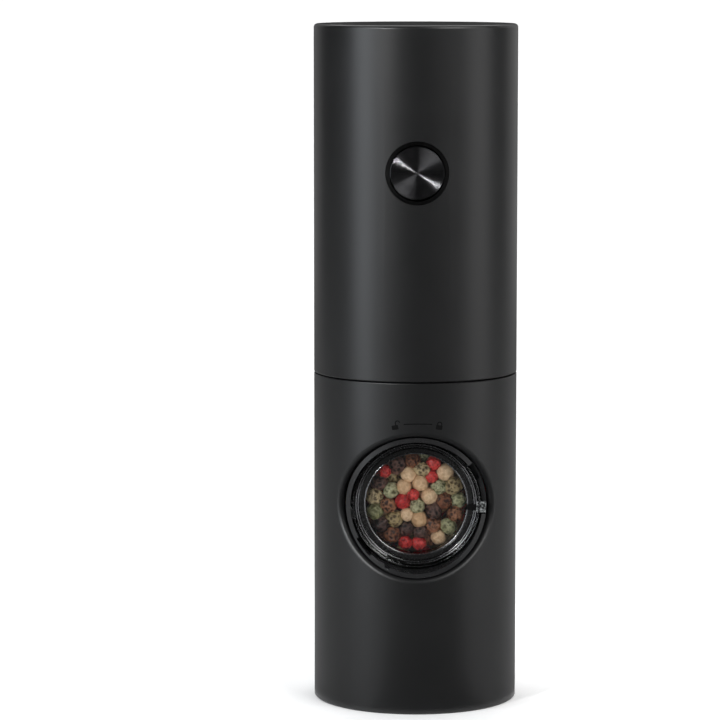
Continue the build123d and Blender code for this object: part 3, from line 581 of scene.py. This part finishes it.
def corn_shape(wrinkle, seed, detail):
    """Unit ball with the folds of a dried berry: a net of raised ridges, a dimple and lumps.
    Returns its points, its faces and how deep each point lies between the ridges."""
    net_scale, lump_scale, crumple_scale = 1.9, 1.5, 8.0
    hollow_depth, crumple_height, lump_height = 0.17, 0.035, 0.07
    ridge_width, hollow_slope, scar_edge = 0.08, 2.6, 0.94
    work = bmesh.new()
    bmesh.ops.create_icosphere(work, subdivisions=detail, radius=1.0)
    offset = Vector((seed * 3.1, seed * 1.7, seed * 2.3))
    hollows = []
    for vert in work.verts:
        direction = vert.co.normalized()
        bent = direction + noise.noise_vector(direction * 2.5 + offset) * 0.25
        nearest, second = noise.voronoi(bent * net_scale + offset)[0][:2]
        hollow = min(1.0, max(0.0, (second - nearest) * hollow_slope - ridge_width)) ** 0.8
        lump = noise.noise(direction * lump_scale + offset)
        crumple = noise.noise(direction * crumple_scale + offset)
        scar = max(0.0, direction.z - scar_edge) * 3.0
        fold = wrinkle * (hollow_depth * hollow - crumple_height * crumple)
        vert.co = direction * (1 - fold + lump_height * lump - scar)
        hollows.append(min(1.0, hollow + scar * 6))
    points = np.array([vert.co[:] for vert in work.verts])
    faces = np.array([[corner.index for corner in face.verts] for face in work.faces])
    work.free()
    return points, faces, np.array(hollows)


def turning(axis, angle):
    """Rotation matrix for rows of points."""
    return np.array(Matrix.Rotation(angle, 3, axis)).T


def pepper_finish(name, pepper):
    """Dried skin: painted shade in the hollows, pale rubbed ridges and a tone of its own for each
    corn.
    """
    finish = Finish(name, pepper.skin, pepper.roughness)
    shade = finish.painted("corn_shade")
    hollow = finish.painted("corn_hollow")
    mottle = finish.speckle(per_metre=650, detail=4)
    rubbed = (shade * 0.7 + (mottle - 0.5) * 1.3 + 0.1).at_least(0.0).at_most(1.0)
    # Painted shade: the hollows between the ridges are darkened towards the hollow colour, more on
    # wrinkled kinds, with noise mixed in.
    crease_shade = hollow * (0.4 + 0.8 * pepper.wrinkle) + (mottle - 0.5) * 0.5 * pepper.wrinkle
    crease_shade_mask = crease_shade.at_least(0.0).at_most(1.0)
    skin = finish.between(rubbed, pepper.skin, pepper.rubbed)
    finish.colour(finish.between(crease_shade_mask, skin, pepper.hollow))
    finish.rough(pepper.roughness + (mottle - 0.5) * 0.3)
    finish.bump(finish.speckle(per_metre=2300, detail=5), depth_mm=0.03 + 0.15 * pepper.wrinkle)
    return finish


# The colours are of the skin, of its rubbed ridges and of the painted shade in its hollows.
# Radii are in millimetres, and the share is a kind's weight in the mixture.
Pepper = namedtuple("Pepper", "wrinkle skin rubbed hollow roughness radii share")
PEPPERS = {
    "black_pepper": Pepper(1.0, (0.055, 0.025, 0.021), (0.24, 0.13, 0.10), (0.004, 0.002, 0.002),
                           0.36, (2.5, 3.1), 17),
    "brown_pepper": Pepper(0.95, (0.23, 0.078, 0.034), (0.48, 0.22, 0.11), (0.030, 0.009, 0.005),
                           0.36, (2.4, 3.0), 13),
    "olive_pepper": Pepper(0.9, (0.40, 0.31, 0.14), (0.72, 0.58, 0.34), (0.07, 0.042, 0.014),
                           0.45, (2.4, 3.1), 15),
    "green_pepper": Pepper(0.8, (0.30, 0.30, 0.135), (0.58, 0.58, 0.37), (0.10, 0.105, 0.04),
                           0.45, (2.4, 2.9), 13),
    "white_pepper": Pepper(0.12, (0.64, 0.41, 0.215), (0.86, 0.66, 0.43), (0.36, 0.19, 0.09),
                           0.45, (2.3, 2.9), 18),
    "pink_pepper": Pepper(0.5, (0.50, 0.016, 0.020), (0.80, 0.08, 0.07), (0.15, 0.003, 0.006),
                          0.28, (2.0, 2.6), 23),
}
SHAPE_COUNT = 5
SQUEEZES = ((0.90, 1.06), (0.92, 1.05), (0.94, 1.06))
FULL_TURN = 6.28
# Corns that can be seen through the pane have the finer mesh.
FINE_DETAIL, PLAIN_DETAIL = 4, 3
WINDOW_MARGIN, WINDOW_DEPTH = 3, 9
kinds = draw.choices(list(PEPPERS), [pepper.share for pepper in PEPPERS.values()], k=CORN_COUNT)
corn_centres, corn_sizes = settle_corns([PEPPERS[kind].radii for kind in kinds])
for kind, pepper in PEPPERS.items():
    seeds = [seed + len(kind) for seed in range(SHAPE_COUNT)]
    shapes = {detail: [corn_shape(pepper.wrinkle, seed, detail) for seed in seeds]
              for detail in (PLAIN_DETAIL, FINE_DETAIL)}
    all_points, all_faces, shades, hollows = [], [], [], []
    start = 0
    for index in [i for i, name in enumerate(kinds) if name == kind]:
        x, y, z = corn_centres[index]
        behind_pane = math.hypot(x, z - PORT_CENTRE.z) < THROAT_R + WINDOW_MARGIN
        seen = behind_pane and y < THROAT_FRONT + WINDOW_DEPTH
        detail = FINE_DETAIL if seen else PLAIN_DETAIL
        points, faces, hollow = shapes[detail][draw.randrange(SHAPE_COUNT)]
        axis = Vector((draw.gauss(0, 1), draw.gauss(0, 1), draw.gauss(0, 1))).normalized()
        squeeze = np.array([draw.uniform(*limits) for limits in SQUEEZES])
        spun = (points * squeeze) @ turning(axis, draw.uniform(0, FULL_TURN))
        all_points.append(spun * corn_sizes[index] + corn_centres[index])
        all_faces.append(faces + start)
        start += len(points)
        shades.append(np.full(len(points), draw.random()))
        hollows.append(hollow)
    mesh = bpy.data.meshes.new(kind)
    places = (np.concatenate(all_points) * MM).tolist()
    mesh.from_pydata(places, [], np.concatenate(all_faces).tolist())
    for name, values in (("corn_shade", shades), ("corn_hollow", hollows)):
        stored = mesh.attributes.new(name, "FLOAT", "POINT")
        stored.data.foreach_set("value", np.concatenate(values))
    mesh.polygons.foreach_set("use_smooth", [True] * len(mesh.polygons))
    corns = new_object(kind, mesh)
    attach(corns, "root")
    pepper_finish(kind + "_skin", pepper).onto(corns)


# ---------------------------------------------------------------- power button
# A disc of dark anodised aluminium with a spun face: fine rings turned round its centre,
# which pull highlights out into wedges. It is glued to a plastic cap, which slides in a bezel
# of deep black plastic; the same black is painted shade in the door's recess and slot.
button_low, button_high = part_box("button_disc")
BUTTON_CENTRE_Z = (button_low.z + button_high.z) / 2
RING_PITCH_MM = 0.11
RING_DEPTH_MM = 0.0165
DISC_ROUGHNESS = 0.145

spun_metal = Finish("spun_anodised_disc", (0.045, 0.045, 0.047), DISC_ROUGHNESS, Metallic=1.0)
across, _, upward = spun_metal.axes()
from_centre = (across ** 2 + (upward - BUTTON_CENTRE_Z) ** 2) ** 0.5
rings = (from_centre * (2 * math.pi / (RING_PITCH_MM * MM))).wave() * 0.5 + 0.5
stain = spun_metal.speckle(per_metre=420, detail=3)
spun_metal.colour(spun_metal.between(stain, (0.038, 0.038, 0.040), (0.052, 0.052, 0.054)))
spun_metal.rough(DISC_ROUGHNESS + stain * 0.02)
spun_metal.bump(rings, RING_DEPTH_MM)
spun_metal.onto(nodes["button_disc"])
frame_black.onto(nodes["button_cap"])
bezel_black_and_painted_shade.onto(nodes["button_bezel"])


# ---------------------------------------------------------------- grinder
# Fired ceramic burrs, matt and slightly porous, held in the black cartridge by its screws.
# The white acetal pin and the black knob under them set how fine the mill grinds.
def ceramic(name, colour, roughness):
    """Fired clay body with fine pores and faint stains from the kiln."""
    finish = Finish(name, colour, roughness)
    pores = finish.speckle(per_metre=3000, detail=3)
    stain = finish.speckle(per_metre=150, detail=4)
    finish.colour(finish.between(stain, shaded(colour, 0.86), colour))
    finish.rough(roughness + pores * 0.2)
    finish.bump(pores, depth_mm=0.02)
    return finish


ceramic("fired_ceramic", (0.78, 0.76, 0.70), 0.5).onto(nodes["outer_burr"], nodes["inner_burr"])
knob_black = moulded_plastic("knob_black", (0.02, 0.02, 0.021), 0.45, 0.3, 0.01)
knob_black.onto(nodes["adjust_knob"])


# ---------------------------------------------------------------- steel parts
# Turned, drawn and wire parts: hexagon shaft, pins, spring, clip and screws in bright
# plated or stainless steel, the zinc-plated motor can, and the bronze and nickel parts.
def bright_metal(name, colour, roughness):
    """Bare metal with a fine drawn or tumbled surface and a little tarnish."""
    finish = Finish(name, colour, roughness, Metallic=1.0)
    scuffs = finish.speckle(per_metre=1800, detail=2)
    tarnish = finish.speckle(per_metre=90, detail=2)
    finish.colour(finish.between(tarnish, shaded(colour, 0.88), colour))
    finish.rough(roughness + (scuffs - 0.5) * 0.15)
    finish.bump(scuffs, depth_mm=0.004)
    return finish


steel = bright_metal("bright_steel", (0.56, 0.56, 0.57), 0.28)
steel.onto(*[nodes[name] for name in nodes if name.endswith("_screws") or name.endswith("_pins")])
steel.onto(*[nodes[name] for name in ("knob_clip", "burr_spring", "drive_shaft", "motor_shaft")])
bright_metal("zinc_motor_can", (0.50, 0.50, 0.52), 0.35).onto(nodes["motor_can"])
bronze = bright_metal("sintered_bronze", (0.52, 0.34, 0.16), 0.42)
bronze.onto(nodes["output_bushing"], nodes["motor_pinion"])
nickel = bright_metal("nickel_strip", (0.60, 0.57, 0.52), 0.25)
nickel.onto(nodes["battery_tabs"], nodes["usb_socket"])


# ---------------------------------------------------------------- gearbox
# Planet gears, carriers, ring-gear housing and cover moulded in natural acetal, a waxy
# off-white plastic. The agitator and the thrust pin are moulded in the same.
acetal = moulded_plastic("natural_acetal", (0.74, 0.73, 0.68), 0.38, 0.5, 0.006, mottling=0.04)
acetal.onto(*[nodes[name] for name in nodes if "planet_" in name and "pins" not in name])
acetal.onto(nodes["gear_housing"], nodes["gearbox_cover"], nodes["output_carrier"])
acetal.onto(nodes["first_stage_carrier"], nodes["agitator"], nodes["thrust_pin"])


# ---------------------------------------------------------------- battery and electronics
# One lithium-ion cell in blue shrink wrap, two green circuit boards with their moulded
# parts, a milky light pipe at the back, and red and black wires between them.
moulded_plastic("blue_cell_wrap", (0.02, 0.16, 0.30), 0.3, 0.8, 0.004).onto(nodes["battery_cell"])
board_green = moulded_plastic("green_solder_mask", (0.012, 0.10, 0.035), 0.28, 0.6, 0.01)
board_green.onto(nodes["control_board"], nodes["charge_board"])
frame_black.onto(nodes["board_chips"], nodes["tact_switch"])
light_pipe = moulded_plastic("milky_light_pipe", (0.75, 0.75, 0.72), 0.25, 0.6, 0.003,
                             mottling=0.03)
light_pipe.onto(nodes["charge_led"])
red_wire = moulded_plastic("red_wire_skin", (0.42, 0.012, 0.010), 0.4, 0.3, 0.004)
red_wire.onto(nodes["battery_lead_red"], nodes["motor_lead_red"])
black_wire = moulded_plastic("black_wire_skin", (0.015, 0.015, 0.015), 0.4, 0.3, 0.004)
black_wire.onto(nodes["battery_lead_black"], nodes["motor_lead_black"])


# ---------------------------------------------------------------- studio
# White paper behind and under the mill, upright softboxes that draw the bands down the tube,
# rim lights behind it, a small lamp for the disc, soft light from above, and cards on the
# floor for its reflections. The long lens keeps the tube's sides nearly parallel.
SWEEP_HALF = 2.6
SWEEP_FRONT = -2.6
SWEEP_BACK = 1.3
SWEEP_R = 0.7
SWEEP_TOP = 2.6
CARD_LIFT = 0.0005
AIR_BRIGHTNESS = 0.42
mill_middle = (cad_low + cad_high) / 2


def paper_strip(name, profile):
    """Sheet of backdrop paper across the set from its (y, z) profile."""
    points = [(x, y, z) for y, z in profile for x in (-SWEEP_HALF, SWEEP_HALF)]
    faces = [(2 * k, 2 * k + 1, 2 * k + 3, 2 * k + 2) for k in range(len(profile) - 1)]
    mesh = bpy.data.meshes.new(name)
    mesh.from_pydata(points, [], faces)
    mesh.polygons.foreach_set("use_smooth", [True] * len(mesh.polygons))
    strip = new_object(name, mesh)
    return strip


cove_start = SWEEP_BACK - SWEEP_R
cove = [(cove_start, 0.0)]
for k in range(1, 17):
    turn = math.radians(90 * k / 16)
    cove.append((cove_start + SWEEP_R * math.sin(turn), SWEEP_R - SWEEP_R * math.cos(turn)))
floor = paper_strip("studio_floor", [(SWEEP_FRONT, 0.0), cove[0]])
backdrop = paper_strip("studio_backdrop", cove + [(SWEEP_BACK, SWEEP_TOP)])
paper = Finish("white_paper", (0.86, 0.86, 0.86), 0.8)
fibres = paper.speckle(per_metre=900, detail=3)
paper.colour(paper.between(fibres, (0.84, 0.84, 0.84), (0.88, 0.88, 0.88)))
paper.onto(floor, backdrop)
backdrop.visible_glossy = False
backdrop.visible_transmission = False
floor.visible_transmission = False


def softbox(name, azimuth, height, distance, size, brightness, tint=(1, 1, 1)):
    """Soft light turned to the mill's middle; azimuth in degrees to the right of the front.
    Size is its width and height, and brightness is that of its face beside white paper."""
    light = bpy.data.lights.new(name, "AREA")
    light.shape = "RECTANGLE"
    light.size, light.size_y = size
    light.energy = brightness * math.pi * light.size * light.size_y
    light.color = tint
    lamp = new_object(name, light)
    turn = math.radians(azimuth)
    lamp.location = Vector((distance * math.sin(turn), -distance * math.cos(turn), height))
    lamp.rotation_euler = (mill_middle - lamp.location).to_track_quat("-Z", "Y").to_euler()
    lamp.visible_camera = False


softbox("left_softbox", -60, 0.32, 0.62, (0.26, 0.64), 3.8, (0.90, 0.95, 1.0))
softbox("right_softbox", 74, 0.32, 0.62, (0.34, 0.64), 1.45)
softbox("left_rim_light", -148, 0.40, 0.9, (0.60, 0.80), 0.36)
softbox("right_rim_light", 141, 0.40, 0.9, (0.72, 0.80), 0.52)
softbox("front_lamp", -36, 0.47, 0.95, (0.045, 0.045), 680)
softbox("key_light", 42, 0.75, 0.95, (0.60, 0.60), 6)
softbox("overhead_light", 180, 1.9, 0.9, (2.4, 1.6), 2.6)


def floor_card(name, first, last, grey):
    """Sector of the floor seen in reflections alone, a hair above the paper, as a studio flag
    is; from one azimuth in degrees to another."""
    near, far, steps = 0.034, 2.4, 36
    turns = [math.radians(first + (last - first) * k / steps) for k in range(steps + 1)]
    points = [(reach * math.sin(turn), -reach * math.cos(turn), CARD_LIFT)
              for turn in turns for reach in (near, far)]
    faces = [(2 * k, 2 * k + 1, 2 * k + 3, 2 * k + 2) for k in range(steps)]
    mesh = bpy.data.meshes.new(name)
    mesh.from_pydata(points, [], faces)
    card = new_object(name, mesh)
    colour = (grey, grey, grey)
    finish = Finish(name + "_paper", colour, 0.9)
    cloud = finish.speckle(per_metre=40, detail=2)
    finish.colour(finish.between(cloud, shaded(colour, 0.9), shaded(colour, 1.1)))
    finish.onto(card)
    for way in ("camera", "diffuse", "transmission", "shadow"):
        setattr(card, "visible_" + way, False)


floor_card("front_card", -30, 48, 0.05)
floor_card("side_card", 48, 330, 0.34)

world = bpy.data.worlds.new("studio_air")
bpy.context.scene.world = world
world.use_nodes = True
air = world.node_tree.nodes["Background"]
air.inputs["Color"].default_value = (1.0, 1.0, 1.0, 1.0)
air.inputs["Strength"].default_value = AIR_BRIGHTNESS
world.cycles_visibility.glossy = False
world.cycles_visibility.transmission = False
bpy.context.scene.view_settings.view_transform = "Standard"

CAMERA_DISTANCE = 1.076
CAMERA_HEIGHT = 0.2315
CAMERA_SIDE = -0.01722
CAMERA_TILT = 6.673
LENS_MM, SENSOR_MM = 173.95, 36
camera_data = bpy.data.cameras.new("camera")
camera_data.sensor_width = SENSOR_MM
camera_data.lens = LENS_MM
camera = new_object("camera", camera_data)
camera.location = (CAMERA_SIDE, -CAMERA_DISTANCE, CAMERA_HEIGHT)
camera.rotation_euler = (math.radians(90 - CAMERA_TILT), 0, 0)
bpy.context.scene.camera = camera

bpy.context.view_layer.update()
